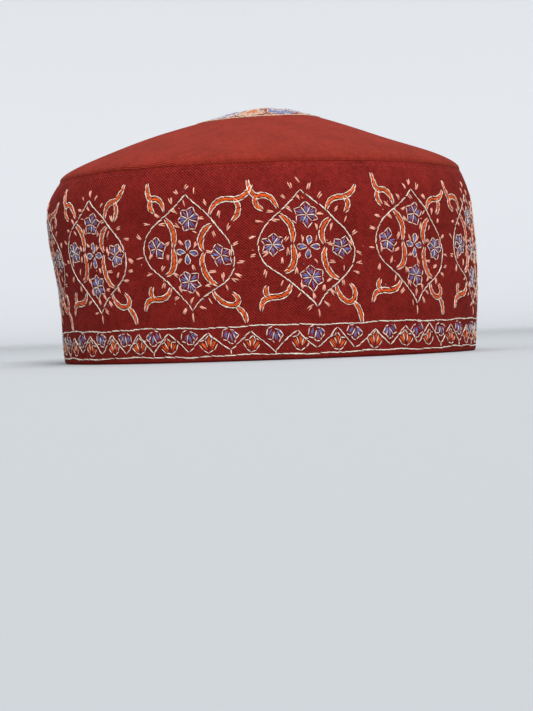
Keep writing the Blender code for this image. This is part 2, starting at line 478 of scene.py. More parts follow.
# darkest and lightest colour of each thread, and its finish where it isn't the plain one; the crown's
# threads are a quieter batch of the same colours
plainFinish = {"rough": 0.60, "sheen": 0.05, "bump": (0.6, 0.00008),
               "twists": 1.1,  # for each millimetre
               # the ply's share darkens the gaps between the plies: painted shade
               "ply": 0.40, "hair": 0.22, "tone": 0.62}  # shares in the mix from dark to light
threads = {
    "cream": {"dark": (0.50, 0.42, 0.32, 1), "light": (0.98, 0.93, 0.82, 1), "rough": 0.55, "sheen": 0.1},
    "orange": {"dark": (0.36, 0.024, 0.004, 1), "light": (0.92, 0.140, 0.012, 1), "rough": 0.52},
    "blue": {"dark": (0.026, 0.028, 0.13, 1), "light": (0.200, 0.225, 0.54, 1), "rough": 0.50, "sheen": 0.1},
    "pink": {"dark": (0.52, 0.180, 0.120, 1), "light": (0.95, 0.520, 0.390, 1), "rough": 0.55, "sheen": 0.1},
    "red": {"dark": (0.13, 0.011, 0.010, 1), "light": (0.34, 0.040, 0.033, 1)},
    "crownCream": {"dark": (0.33, 0.27, 0.21, 1), "light": (0.62, 0.56, 0.48, 1)},
    "crownOrange": {"dark": (0.27, 0.060, 0.030, 1), "light": (0.56, 0.180, 0.075, 1)},
    "crownBlue": {"dark": (0.060, 0.066, 0.150, 1), "light": (0.210, 0.225, 0.370, 1)},
    "crownLilac": {"dark": (0.20, 0.18, 0.23, 1), "light": (0.40, 0.37, 0.44, 1)},
    "crownPeach": {"dark": (0.34, 0.170, 0.110, 1), "light": (0.56, 0.350, 0.250, 1)},
}


def threadMaterial(name, look):
    # from dark to light by the plies, whose dark gaps are painted shade, the hair and each stitch's own tone
    look = {**plainFinish, **look}
    material, tree, shader = startMaterial(name, Specular_IOR_Level=0.2, Sheen_Weight=look["sheen"],
                                           Sheen_Roughness=0.4)
    twist = addGroup(tree, twistGroup, (-900, 0), Thread=clothUv(tree), Twists_per_mm=look["twists"])
    tone = addNode(tree, "ShaderNodeAttribute", (-900, -220), {"attribute_name": "tone"}).outputs["Fac"]
    ply = times(tree, twist["Ply"], look["ply"], (-700, 40))
    hair = times(tree, twist["Hair"], look["hair"], (-700, -80))
    own = times(tree, tone, look["tone"], (-700, -220))
    mixed = plus(tree, plus(tree, ply, hair, (-540, 0)), own, (-380, 0), clamp=True)
    finishSurface(tree, shader, mixColour(tree, mixed, look["dark"], look["light"], (-220, 60)),
                  scaled(tree, twist["Hair"], (0.2, look["rough"]), (-380, -160)),
                  plus(tree, twist["Ply"], hair, (-380, -300)), look["bump"])
    return material


bandWool, crownWool = woolMaterial("band"), woolMaterial("crown")
liningClothAndShade = liningMaterial("liningClothAndShade")
threadOf = {colour: threadMaterial(colour + "Thread", look) for colour, look in threads.items()}
print("materials made")


bandCloth = {"wall": 2.2 * mm, "columns": 540, "outerRows": 58, "innerRows": 16, "hemRows": 7,
             "joinColumns": 12, "layoutRadius": 95}  # millimetres of cloth for each radian round


def distanceAlong(points):
    # how far each point lies along the line through them
    return np.concatenate([[0], np.cumsum(np.linalg.norm(np.diff(points, axis=0), axis=1))])


def turnsFromJoin(columns, extra):
    # angles once round from the join, with some more of them close to it
    angle = np.linspace(0, 2 * math.pi, columns, endpoint=False)
    close = np.linspace(0, 3.5 * mm / capForm["rimHalfWidth"], extra + 1)[1:]
    return join["azimuth"] + np.unique(np.concatenate([angle, close, 2 * math.pi - close])) - 2 * math.pi


def makeWall(name, cloth, rowHeight, rowInset, lastStep, firstHeight, material):
    # a closed profile of heights and insets, carried round the band; the uv is the way along both, in mm
    azimuth = turnsFromJoin(cloth["columns"], cloth["joinColumns"])
    turn, height = np.meshgrid(azimuth, rowHeight)
    places = bandPlace(turn, height, rowInset[:, None])
    corners, rowIndex, columnIndex = gridFaces(len(rowHeight), len(azimuth), closeRows=True)
    turns = np.append(azimuth, azimuth[0] + 2 * math.pi)
    travel = distanceAlong(np.stack([rowHeight, rowInset], -1))
    travel = np.append(travel, travel[-1] + lastStep) + firstHeight
    uv = np.stack([turns[columnIndex] * cloth["layoutRadius"], travel[rowIndex] / mm], -1)
    return makeObject(name, places.reshape(-1, 3), corners.ravel(), np.full(len(corners), 4),
                      uv.reshape(-1, 2), [material])


def makeBand():
    # outer face upwards, over the top, inner face downwards, then a half circle for the folded hem
    wall = bandCloth["wall"]
    hem = wall / 2
    heights = np.linspace(hem, capForm["seamHeight"], bandCloth["outerRows"])
    back = np.linspace(capForm["seamHeight"], hem, bandCloth["innerRows"])
    fold = np.linspace(math.pi, 2 * math.pi, bandCloth["hemRows"] + 2)[1:-1]
    rowHeight = np.concatenate([heights, back, hem + hem * np.sin(fold)])
    rowInset = np.concatenate([heights * 0, back * 0 + wall, hem - hem * np.cos(fold)])
    return makeWall("band_cloth", bandCloth, rowHeight, rowInset, hem * 0.4, hem, bandWool)


# rings are closer together towards the edge, more so with a higher crowding
crownCloth = {"wall": 1.8 * mm, "columns": 432, "rows": 46, "hole": 0.012, "crowding": 1.8,
              "underRows": 22, "underHole": 0.02, "underCrowding": 1.3}


def makeCrown():
    # a polar grid for the outer face, and one a wall's thickness under it along the normals
    columns = crownCloth["columns"]
    rest = 1 - crownCloth["hole"]
    outer = np.linspace(crownCloth["hole"], 1, crownCloth["rows"])
    outer = 1 - (1 - outer) ** crownCloth["crowding"] * rest / rest ** crownCloth["crowding"]
    under = np.linspace(crownCloth["underHole"], 0.995, crownCloth["underRows"])
    under = 1 - (1 - under) ** crownCloth["underCrowding"]
    azimuth = np.linspace(-math.pi, math.pi, columns, endpoint=False)
    turn, share = np.meshgrid(azimuth, outer)
    top = crownPlace(turn, share)
    # the edge is turned under: rings that go down over the band, back to it, and in above its top
    seam, proud, lap = capForm["seamHeight"], crownFold["proud"], crownFold["lap"]
    roll = [bandPlace(azimuth, seam - drop, inset) for drop, inset in (
        (0.0, -proud * 1.05), (lap * 0.55, -proud * 0.9), (lap * 0.9, -proud * 0.5), (lap, -0.03 * mm),
        (lap * 0.5, -0.01 * mm), (-0.05 * mm, 0.0), (-0.10 * mm, 0.5 * mm), (-0.12 * mm, 1.4 * mm))]
    turn, share = np.meshgrid(azimuth, np.minimum(under[::-1], 0.97))
    downwards = normalsOf(crownPlace, turn, share, 0.01, 0.004)
    inside = crownPlace(turn, share) + downwards * crownCloth["wall"]
    rings = np.concatenate([top, np.array(roll), inside])
    rows = len(rings)
    corners, rowIndex, _ = gridFaces(rows, columns, closeRows=False)
    # a fan of triangles fills the small hole in the middle of each face
    places = np.concatenate([rings.reshape(-1, 3), [top[0].mean(0)], [rings[-1].mean(0)]])
    step, lastRing = np.arange(columns), (rows - 1) * columns
    following = (step + 1) % columns
    topFan = np.stack([np.full(columns, rows * columns), following, step], -1)
    underFan = np.stack([np.full(columns, rows * columns + 1), lastRing + step, lastRing + following], -1)
    order = np.concatenate([corners[:, ::-1].ravel(), topFan.ravel(), underFan.ravel()])
    sizes = np.concatenate([np.full(len(corners), 4), np.full(2 * columns, 3)])
    # wool outside and round the fold, the lining's cloth underneath
    slots = np.concatenate([rowIndex[:, 0] >= len(top) + 4, np.zeros(columns), np.ones(columns)]).astype(int)
    # the cloth is laid out flat: each ring lies as far from the middle as it is along the profile
    steps = np.linalg.norm(np.diff(rings, axis=0), axis=2).mean(axis=1) / mm
    outside = len(top) + len(roll)
    flat = np.concatenate([[1.0], 1.0 + np.cumsum(steps[:outside - 1]),
                           2.0 + np.cumsum(steps[outside:][::-1])[::-1], [2.0]])
    flatX, flatY = flat[:, None] * np.sin(azimuth), -flat[:, None] * np.cos(azimuth)
    sheet = np.concatenate([np.stack([flatX, flatY], -1).reshape(-1, 2), [[0, 0], [0, 0]]])
    return makeObject("crown_cloth", places, order, sizes, sheet[order], [crownWool, liningClothAndShade],
                      slots=slots)


liningShell = {"inset": 2.5 * mm, "wall": 1.0 * mm, "foot": 1.6 * mm, "top": 77 * mm,
               "columns": 360, "rows": 26, "joinColumns": 8, "layoutRadius": 91}


def makeLining():
    # two faces a wall apart, joined by half circles at the foot and the top
    wall = liningShell["wall"]
    half = wall / 2
    heights = np.linspace(liningShell["foot"] + half, liningShell["top"] - half, liningShell["rows"])
    bend = np.linspace(0, math.pi, 5)[1:-1]
    rowHeight = np.concatenate([heights, heights[-1] + half * np.sin(bend), heights[::-1],
                                heights[0] - half * np.sin(bend)])
    rowInset = liningShell["inset"] + half - half * np.concatenate(
        [np.ones(len(heights)), np.cos(bend), -np.ones(len(heights)), -np.cos(bend)])
    return makeWall("lining_cloth", liningShell, rowHeight, rowInset, half, 0, liningClothAndShade)


bandPiece = makeBand()
crownPiece = makeCrown()
liningPiece = makeLining()
print("cloth made")


# Each stitch is a closed spindle of thread that dives into the cloth at both ends
spindle = {"rings": 4, "sides": 5, "girth": (0.55, 1.0, 1.0, 0.55), "girthSpread": 0.06, "flatness": 0.62,
           "sink": 0.10 * mm, "archPower": 0.7, "toneSpread": 0.24}
chartRadius = 95.0  # millimetres of chart for each radian round the band


def outwards(angle):
    # the unit vector at an angle, or one for each of many
    return np.stack([np.cos(angle), np.sin(angle)], -1)


def leftOf(direction):
    # the direction turned a quarter to the left
    return np.stack([-direction[..., 1], direction[..., 0]], -1)


def turnMatrix(degrees):
    # the matrix that turns a chart to the left
    turn = math.radians(degrees)
    return np.array([[math.cos(turn), -math.sin(turn)], [math.sin(turn), math.cos(turn)]])


def ontoBand(x, y):
    # chart millimetres to the band: arc length becomes azimuth and height stays height
    azimuth, height = x / chartRadius, y * mm
    return bandPlace(azimuth, height), normalsOf(bandPlace, azimuth, height, 0.003, 0.0003)


def crownFlat(x, y):
    # plan metres to the crown: the polar angle and the share of the edge radius
    return crownPlace(np.arctan2(x, -y), np.hypot(x, y) / bandRadius(capForm["seamHeight"]))


def ontoCrown(x, y):
    # chart millimetres to the crown, seen from above
    return crownFlat(x * mm, y * mm), normalsOf(crownFlat, x * mm, y * mm, 0.0003, 0.0003)


def makeStitches(name, batches, onto, colour, seed):
    # a spindle for each row of start, end, width, lift and bow, in chart millimetres; lift and bow follow a
    # sine of the way along, and the section is a flattened polygon that is thinner at both ends
    rng = np.random.default_rng(seed)
    data = np.concatenate([np.asarray(batch, float).reshape(-1, 7) for batch in batches])
    start, end = data[:, 0:2], data[:, 2:4]
    width, lift, bow = data[:, 4] * mm, data[:, 5] * mm, data[:, 6]
    count, rings, sides = len(data), spindle["rings"], spindle["sides"]
    along = np.concatenate([[0], np.linspace(0.10, 0.90, rings), [1]])
    path = start[:, None] + (end - start)[:, None] * along[None, :, None]
    length = np.linalg.norm(end - start, axis=1)
    across = leftOf(unit(end - start))
    path = path + across[:, None] * (bow[:, None] * np.sin(math.pi * along)[None])[..., None]
    surface, normal = onto(path[..., 0], path[..., 1])
    arch = np.sin(math.pi * along) ** spindle["archPower"]
    centre = surface + normal * (lift[:, None] * arch[None] - spindle["sink"] * (1 - arch)[None])[..., None]
    side = unit(np.cross(normal, np.gradient(centre, axis=1)))
    swell = 1 + rng.normal(0, spindle["girthSpread"], (count, rings))
    turn = np.arange(sides) / sides * 2 * math.pi + math.pi / 2
    reach = width[:, None] / 2 * np.array(spindle["girth"])[None] * swell
    rise = spindle["flatness"] * reach
    ring = (centre[:, 1:-1, None]
            + side[:, 1:-1, None] * (reach[..., None] * np.cos(turn))[..., None]
            + normal[:, 1:-1, None] * (rise[..., None] * np.sin(turn))[..., None])
    places = np.concatenate([centre[:, :1], ring.reshape(count, rings * sides, 3), centre[:, -1:]], axis=1)
    # faces and uv of one spindle, repeated for all: a fan at each end and quads between the rings
    perStitch = rings * sides + 2
    step = np.arange(sides)
    following, tail = (step + 1) % sides, 1 + (rings - 1) * sides
    startFan = np.stack([0 * step, 1 + following, 1 + step], -1)
    endFan = np.stack([perStitch - 1 + 0 * step, tail + step, tail + following], -1)
    walls = gridFaces(rings, sides, closeRows=False)[0] + 1
    template = np.concatenate([startFan.ravel(), endFan.ravel(), walls.ravel()])
    corners = (template[None] + np.arange(count)[:, None] * perStitch).ravel()
    sizes = np.tile(np.concatenate([np.full(2 * sides, 3), np.full(len(walls), 4)]), count)
    nearU, farU = np.repeat(along[1:-2], sides), np.repeat(along[2:-1], sides)
    fanV = np.stack([step + 0.5, step + 1, step], -1) / sides
    backV = np.stack([step + 0.5, step, step + 1], -1) / sides
    wallV = np.tile(np.stack([step, step + 1, step + 1, step], -1) / sides, (rings - 1, 1))
    templateU = np.concatenate([
        np.tile([0, along[1], along[1]], sides), np.tile([1, along[-2], along[-2]], sides),
        np.stack([nearU, nearU, farU, farU], -1).ravel()])
    templateV = np.concatenate([fanV.ravel(), backV.ravel(), wallV.ravel()])
    offset = rng.uniform(0, 30, count)
    uv = np.stack([(templateU[None] * length[:, None] + offset[:, None]).ravel(),
                   np.tile(templateV, count)], -1)
    tones = np.repeat(np.clip(rng.normal(0.5, spindle["toneSpread"], count), 0, 1), perStitch)
    piece = makeObject(name, places.reshape(-1, 3), corners, sizes, uv, [threadOf[colour]], tones=tones)
    print(name, count, "stitches,", len(corners) - 2 * len(sizes), "triangles")
    return piece


def smoothPath(points, spacing=0.25):
    # a curve through the points, each span the cubic whose ends follow the line between its neighbours
    points = np.asarray(points, float)
    padded = np.concatenate([[2 * points[0] - points[1]], points, [2 * points[-1] - points[-2]]])
    before, first, second, after = padded[:-3], padded[1:-2], padded[2:-1], padded[3:]
    t = np.linspace(0, 1, 12, endpoint=False)[None, :, None]
    curve = 0.5 * (2 * first[:, None] + (second - before)[:, None] * t
                   + (2 * before - 5 * first + 4 * second - after)[:, None] * t**2
                   + (3 * first - before - 3 * second + after)[:, None] * t**3)
    return evenly(np.concatenate([curve.reshape(-1, 2), points[-1:]]), spacing)


def pointsAt(distance, travel, curve):
    # the curve's points at distances along it, straight between the ones it has
    return np.stack([np.interp(distance, travel, curve[:, axis]) for axis in (0, 1)], -1)


def evenly(curve, spacing):
    # the same curve with its points the same distance apart
    travel = distanceAlong(curve)
    steps = np.linspace(0, travel[-1], max(2, int(round(travel[-1] / spacing)) + 1))
    return pointsAt(steps, travel, curve)


def sideways(curve, distance):
    # the curve moved to its left by a distance that may change along it
    return curve + leftOf(unit(np.gradient(curve, axis=0))) * np.reshape(distance, (-1, 1))


def stemStitches(curve, rng, stitch=3.0, advance=2.2, width=0.6, slant=0.15, shake=0.08, lift=0.16):
    # stitches along a path: each starts before the last one ends, a little to one side of it
    travel = distanceAlong(curve)
    total = travel[-1]
    count = max(1, int(round((total - (stitch - advance)) / advance)))
    pitch = total / (count + (stitch - advance) / advance)
    starts = np.arange(count) * pitch + rng.normal(0, 0.12 * pitch, count) * (np.arange(count) > 0)
    ends = np.minimum(starts + pitch * stitch / advance + rng.normal(0, 0.1 * pitch, count), total)
    ends[-1] = total
    first, last, middle = (pointsAt(where, travel, curve) for where in (starts, ends, (starts + ends) / 2))
    left = leftOf(unit(last - first))
    bow = np.sum((middle - (first + last) / 2) * left, axis=1)
    first = first + left * slant + rng.normal(0, shake, (count, 2))
    last = last - left * slant + rng.normal(0, shake, (count, 2))
    widths = width * rng.uniform(0.78, 1.25, count)
    lifts = lift + rng.uniform(-0.05, 0.08, count)
    return np.column_stack([first, last, widths, lifts, bow])


def straightStitch(first, last, rng, width=0.6, shake=0.10, lift=0.16):
    # one stitch for each pair of ends, a little astray and hardly bowed
    pairs = np.concatenate([np.reshape(first, (-1, 2)), np.reshape(last, (-1, 2))], 1)
    count = len(pairs)
    pairs = pairs + rng.normal(0, shake, pairs.shape)
    widths, lifts = width * rng.uniform(0.85, 1.2, count), lift + rng.uniform(-0.03, 0.05, count)
    return np.column_stack([pairs, widths, lifts, rng.normal(0, 0.06, count)])


# The medallion: millimetres across and up from the middle of its small flower
medallion = {
    "pitch": math.radians(30),
    "first": math.radians(11.2),
    "count": 12,
    "middleHeight": 44.9,
    "stretch": (1.012, 0.990),
    "lean": -2.2,  # degrees, for each medallion, apart from these
    "leans": {0: -3.8, 1: -8.0, 2: -4.0, 10: -5.5, 11: -9.0},
    # how each line is worked, in millimetres: the stitch, the step to the next one, its width, and so on
    "work": {
        "ogee": {"stitch": 3.2, "advance": 2.3, "width": 0.45, "slant": 0.18},
        "vineEdge": {"stitch": 2.8, "advance": 2.1, "width": 0.41, "slant": 0.12},
        "vineFill": {"stitch": 3.0, "advance": 1.9, "width": 0.50, "shake": 0.08, "lift": 0.15},
        "petalSpoke": {"width": 0.40, "shake": 0.10, "lift": 0.20},
        "petalEdge": {"width": 0.37, "shake": 0.12},
        "petalFill": {"width": 0.52, "shake": 0.09, "lift": 0.12},
        "leafEdge": {"stitch": 2.4, "advance": 1.9, "width": 0.38},
        "leafFill": {"width": 0.62, "shake": 0.07, "lift": 0.12},
        "seed": {"width": 0.60, "shake": 0.10, "lift": 0.15},
        "stray": {"width": 0.36, "shake": 0.02, "lift": 0.08},
    },
    "ogeeRight": ((-3.6, 22.9), (-1.2, 21.0), (1.8, 18.9), (6.6, 15.5), (10.7, 11.5), (13.8, 8.9),
                  (16.6, 6.0), (18.8, 2.2), (19.5, -1.6), (18.6, -6.4), (15.5, -11.0), (10.2, -15.8),
                  (6.4, -19.6), (3.8, -24.1)),
    "ogeeLeft": ((-3.6, 22.9), (-5.6, 19.9), (-9.9, 15.1), (-14.7, 10.6), (-18.2, 6.6), (-20.3, 1.6),
                 (-20.1, -3.0), (-17.9, -7.2), (-14.0, -10.3), (-9.6, -12.8), (-5.2, -16.2), (-1.4, -19.2),
                 (1.2, -21.4), (3.8, -24.1)),
    "vines": (
        {"width": 1.26, "path": ((-12.2, 12.2), (-9.6, 10.4), (-7.7, 8.2), (-6.8, 5.8), (-6.5, 3.4),
                                 (-6.7, 0.9))},
        {"width": 1.26, "path": ((-6.7, 0.9), (-5.9, -2.1), (-5.6, -4.8), (-6.1, -7.6), (-7.3, -9.5),
                                 (-9.6, -11.0))},
        {"width": 1.22, "path": ((9.0, 11.9), (6.8, 9.7), (5.6, 7.2), (5.3, 4.8), (5.8, 2.7), (6.9, 1.2))},
        {"width": 1.14, "path": ((6.9, 0.4), (6.1, -2.1), (6.3, -4.8), (7.3, -7.6), (8.7, -9.9),
                                 (10.5, -11.6), (12.9, -12.4))},
    ),
    "antlers": (
        {"side": "upperLeft", "width": 1.14,
         "path": ((-12.4, 14.6), (-14.2, 17.5), (-16.4, 19.3), (-18.9, 19.8), (-21.0, 19.1), (-22.6, 20.4),
                  (-23.8, 22.8), (-24.6, 26.0))},
        {"side": "upperLeft", "width": 1.04,
         "path": ((-20.9, 19.6), (-21.5, 17.2), (-20.6, 15.1), (-18.0, 13.6))},
        {"side": "upperRight", "width": 1.14,
         "path": ((7.4, 15.0), (8.0, 17.5), (9.6, 19.5), (12.1, 20.6), (14.6, 20.9), (16.9, 22.0),
                  (18.8, 23.7), (20.2, 26.4))},
        {"side": "upperRight", "width": 1.04,
         "path": ((14.6, 21.2), (16.3, 18.9), (16.3, 16.6), (14.9, 14.2))},
        {"side": "lowerLeft", "width": 1.22,
         "path": ((-6.9, -15.3), (-7.7, -18.0), (-9.4, -19.8), (-12.0, -20.7), (-14.7, -21.1), (-17.2, -22.0),
                  (-18.4, -23.8), (-18.7, -26.6))},
        {"side": "lowerLeft", "width": 1.04, "path": ((-15.2, -21.3), (-16.9, -19.2), (-16.3, -16.2))},
        {"side": "lowerRight", "width": 1.12,
         "path": ((11.2, -15.2), (12.1, -17.9), (14.0, -20.4), (16.6, -21.7), (18.9, -20.8), (19.6, -18.4),
                  (18.9, -16.1), (17.2, -14.4))},
        {"side": "lowerRight", "width": 1.10,
         "path": ((18.8, -21.6), (20.6, -23.2), (22.0, -25.9), (23.0, -29.8))},
    ),
    # where the antlers of each side spring from, and how much farther some of them reach, across and up
    "roots": {"upperLeft": (-12.4, 14.6), "upperRight": (7.4, 15.0), "lowerLeft": (-6.9, -15.3),
              "lowerRight": (11.4, -15.1)},
    "reach": {
        11: {"upperRight": (1.15, 1.22), "lowerRight": (1.17, 0.84), "upperLeft": (0.88, 0.98)},
        1: {"upperRight": (0.98, 1.0), "upperLeft": (0.98, 1.02), "lowerRight": (0.97, 0.89)},
        10: {"upperRight": (0.87, 1.14), "lowerRight": (1.08, 0.90)},
    },
    "flowers": (
        {"x": -0.9, "y": 12.8, "radius": 5.2, "turn": 95},
        {"x": -14.5, "y": 0.2, "radius": 4.9, "turn": 20},
        {"x": 13.8, "y": 0.3, "radius": 4.9, "turn": 50},
        {"x": 1.3, "y": -12.5, "radius": 5.3, "turn": 100},
    ),
    "dagger": ((3.9, -24.6), (4.5, -28.4)),  # one long stitch below the point
    # seed stitches: x, y, and how far the pair leans from the outward direction, in degrees
    "seeds": ((-3.4, 19.2, 0), (-7.3, 14.8, 60), (5.1, 13.7, -60), (-5.6, 9.6, 10), (3.0, 8.0, 40),
              (-13.7, 9.1, 0), (10.0, 8.2, 50), (-3.0, 3.1, 0), (2.6, 2.9, 10), (-9.2, 2.4, 70),
              (9.0, 1.9, -50), (17.0, 2.4, 80), (-2.9, -3.8, 10), (-9.0, -2.9, 60), (3.3, -5.8, -10),
              (-11.3, -7.2, 40), (-17.6, -3.6, 50), (10.2, -5.5, 20), (14.7, -7.8, -60), (-4.6, -10.3, 50),
              (9.0, -13.6, 60), (-2.7, -15.6, 20), (5.6, -17.0, 20), (2.7, -19.3, 0), (-9.9, 19.2, 15),
              (5.4, 20.6, 10), (-15.4, 13.6, 0), (11.2, 15.6, 20), (15.6, 11.6, 10), (-20.0, 9.1, 10),
              (19.6, 6.2, 0), (-22.9, 3.3, -20), (21.6, -0.9, 0), (-22.6, -4.0, 0), (21.3, -5.8, 10),
              (-18.0, -10.8, 10), (19.4, -9.8, 0), (-11.0, -14.9, 20), (15.4, -13.4, -30), (-4.9, -19.8, -40),
              (10.2, -18.8, 10), (0.4, -24.2, -30), (7.9, -22.5, 40), (-3.6, 26.2, 0), (-7.2, 23.8, 10),
              (0.4, 24.0, -10)),
}


def handDrawn(points, wobble):
    # the chart as a hand would repeat it: a small turn and stretch, then slow waves in both directions
    points = np.asarray(points, float)
    turned = points @ wobble["matrix"].T
    x, y, phase = points[..., 0], points[..., 1], wobble["phase"]
    waves = np.stack([np.sin(y * 0.17 + phase[0]) + np.sin(x * 0.21 + phase[1]),
                      np.sin(x * 0.16 + phase[2]) + np.sin(y * 0.19 + phase[3])], -1)
    return turned + wobble["size"] * waves + wobble["shift"]


def vineStitches(path, width, rng):
    # cream stem stitch down both edges and two rows of orange between; the vine narrows to its ends
    curve = smoothPath(path)
    share = np.linspace(0, 1, len(curve))
    half = width * (0.32 + 0.58 * np.minimum(1, 3.6 * np.minimum(share, 1 - share)) ** 0.8)
    work = medallion["work"]
    edges = [stemStitches(sideways(curve, half * side), rng, **work["vineEdge"]) for side in (1, -1)]
    fills = [stemStitches(sideways(curve[2:-2], half[2:-2] * side * 0.26), rng, **work["vineFill"])
             for side in (1, -1)]
    return edges, fills


def kiteFlower(flower, wobble, rng):
    # petals round a middle: cream spokes between petals, cream edges out to the tips, blue along the petals
    centre = np.array([flower["x"], flower["y"]])
    petals, radius = 6 - (rng.random() < 0.3), flower["radius"]  # some have one petal fewer
    angle = math.radians(flower["turn"] + rng.uniform(-25, 25)) + np.arange(petals) / petals * 2 * math.pi
    angle = angle + rng.normal(0, 0.07, petals)
    between = angle - math.pi / petals

    def around(turn, distance):
        return handDrawn(centre + outwards(turn) * np.reshape(distance, (-1, 1)), wobble)

    tips = around(angle, radius * rng.uniform(0.88, 1.08, petals))
    notches = around(between, radius * rng.uniform(0.66, 0.80, petals))
    nextNotches = np.roll(notches, -1, axis=0)
    keep = rng.random(petals) < 0.93
    work = medallion["work"]
    cream = [straightStitch(around(angle, np.zeros(petals)), notches, rng, **work["petalSpoke"]),
             straightStitch(notches, tips, rng, **work["petalEdge"]),
             straightStitch(tips[keep], nextNotches[keep], rng, **work["petalEdge"])]
    blue = []
    for lean, reach in ((0.17, 0.82), (-0.18, 0.74)):
        whole = rng.random(petals) < 0.88
        roots, ends = around(angle + lean, radius * 0.22), around(angle + lean * 0.8, radius * reach)
        blue.append(straightStitch(roots[whole], ends[whole], rng, **work["petalFill"]))
    return cream, blue


def leafFlower(wobble, rng):
    # four separate leaves: a bowed cream edge and a blue stitch beside it on either side of each
    cream, blue = [], []
    for quarter in range(4):
        out = outwards(math.radians(90 * quarter + rng.uniform(-7, 7)))
        root, tip = out * 0.6, out * rng.uniform(4.5, 5.3)
        for side in (leftOf(out), -leftOf(out)):
            edge = smoothPath([root, root * 0.35 + tip * 0.65 + side * 1.2, tip])
            cream.append(stemStitches(handDrawn(edge, wobble), rng, **medallion["work"]["leafEdge"]))
            first = handDrawn(root * 0.85 + tip * 0.15 + side * 0.25, wobble)
            last = handDrawn(root * 0.18 + tip * 0.82 + side * 0.34, wobble)
            blue.append(straightStitch(first, last, rng, **medallion["work"]["leafFill"]))
    return cream, blue


def seedStitches(seeds, wobble, rng):
    # pairs of short stitches that part a little at one end
    seeds = np.asarray(seeds, float)
    count = len(seeds)
    place = handDrawn(seeds[:, :2], wobble) + rng.normal(0, 0.45, (count, 2))
    turn = np.arctan2(seeds[:, 1], seeds[:, 0]) + np.radians(seeds[:, 2] + rng.normal(0, 20, count))
    result = []
    for side, chance in ((1, 1.0), (-1, 0.86), (0, 0.25)):
        out = outwards(turn + side * rng.uniform(-0.14, 0.30, count))
        half = out * rng.uniform(2.1, 3.5, count)[:, None] / 2
        base = place + leftOf(outwards(turn)) * side * rng.uniform(0.18, 0.42, count)[:, None]
        base = base + out * rng.normal(0, 0.25, count)[:, None]
        keep = rng.random(count) < chance
        first, last = (base - half)[keep], (base + half)[keep]
        result.append(straightStitch(first, last, rng, **medallion["work"]["seed"]))
    return result


def strayStitches(count, rng):
    # tiny stitches scattered round the figure
    turn, reach = rng.uniform(0, 6.28, count), rng.uniform(6, 25, count)
    place = outwards(turn) * (0.95, 1) * reach[:, None]
    half = outwards(rng.uniform(0, 6.28, count)) * rng.uniform(0.3, 0.9, count)[:, None] / 2
    return straightStitch(place - half, place + half, rng, **medallion["work"]["stray"])


def medallionStitches(index):
    # one figure from the chart, with its own lean, stretch, waves and slips, set at its place round the band
    rng = np.random.default_rng(100 + index)
    slips = 0.3 if index == 0 else 1.0  # the front one follows the chart closely
    lean = medallion["leans"].get(index, rng.normal(medallion["lean"], 1.6))
    stretch = (1 + slips * rng.normal(0, 0.018, 2)) * np.array(medallion["stretch"])
    wobble = {"matrix": turnMatrix(lean) * stretch, "phase": rng.uniform(0, 6.28, 4), "size": 0.28 * slips,
              "shift": rng.normal(0, 0.35 * slips, 2)}
    cream, orange, blue, pink = [], [], [], []
    for side in ("ogeeRight", "ogeeLeft"):
        ogee = handDrawn(smoothPath(medallion[side]), wobble)
        cream.append(stemStitches(ogee, rng, **medallion["work"]["ogee"]))
    reaches = {side: 1 + slips * rng.uniform(-0.02, 0.08, 2) for side in medallion["roots"]}
    reaches.update(medallion["reach"].get(index, {}))
    paths = [(vine, np.array(vine["path"])) for vine in medallion["vines"]]
    for antler in medallion["antlers"]:
        path, root = np.array(antler["path"]), np.array(medallion["roots"][antler["side"]])
        reach = np.asarray(reaches[antler["side"]])
        paths.append((antler, root + (path - root) * (1 + (reach - 1) * 1.8)))
    for vine, path in paths:
        path = handDrawn(path, wobble) + rng.normal(0, 0.12, (1, 2))
        edges, fills = vineStitches(path, vine["width"], rng)
        cream += edges
        orange += fills
    for flower in medallion["flowers"]:
        outline, fill = kiteFlower(flower, wobble, rng)
        cream += outline
        blue += fill
    outline, fill = leafFlower(wobble, rng)
    cream += outline
    blue += fill
    pink += seedStitches(medallion["seeds"], wobble, rng)
    top, point = handDrawn(medallion["dagger"], wobble)
    pink.append(straightStitch(top, point, rng, width=0.7))
    pink.append(strayStitches(9, rng))
    orange.append(strayStitches(3, rng))
    blue.append(strayStitches(3, rng))
    turn = medallion["first"] + index * medallion["pitch"]
    for rows in cream + orange + blue + pink:
        rows[:, [0, 2]] += turn * chartRadius
        rows[:, [1, 3]] += medallion["middleHeight"]
    return cream, orange, blue, pink


